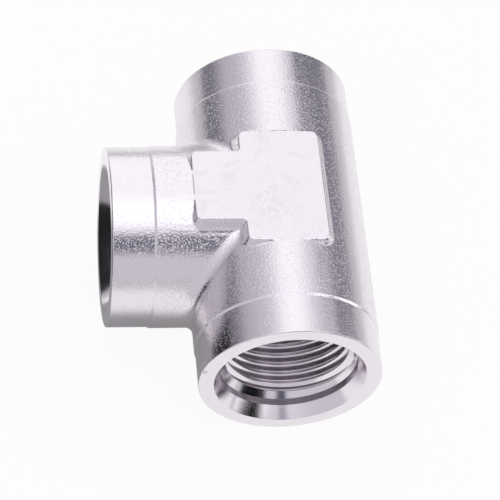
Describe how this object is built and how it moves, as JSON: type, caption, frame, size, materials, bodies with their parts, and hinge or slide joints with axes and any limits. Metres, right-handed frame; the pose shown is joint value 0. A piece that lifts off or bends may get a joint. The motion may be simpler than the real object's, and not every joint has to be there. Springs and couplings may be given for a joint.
{
  "type": "female tee fitting",
  "caption": "Nickel plated brass tee with equal female threaded ports, turned collars and T shaped wrench pads above and below.",
  "frame": {"origin": "on the lower wrench pad, straight under the crossing of the port axes", "axes": "+Y along the run, -X along the branch, +Z out of the upper pad"},
  "size_m": [0.0329, 0.0426, 0.0228],
  "materials": {
    "nickel_plate": "nickel plate over forged brass: fine tumbled grain on the forging, smooth on the turned ends and threads"
  },
  "bodies": {
    "root": {"tee_body": "nickel_plate"}
  },
  "joints": []
}
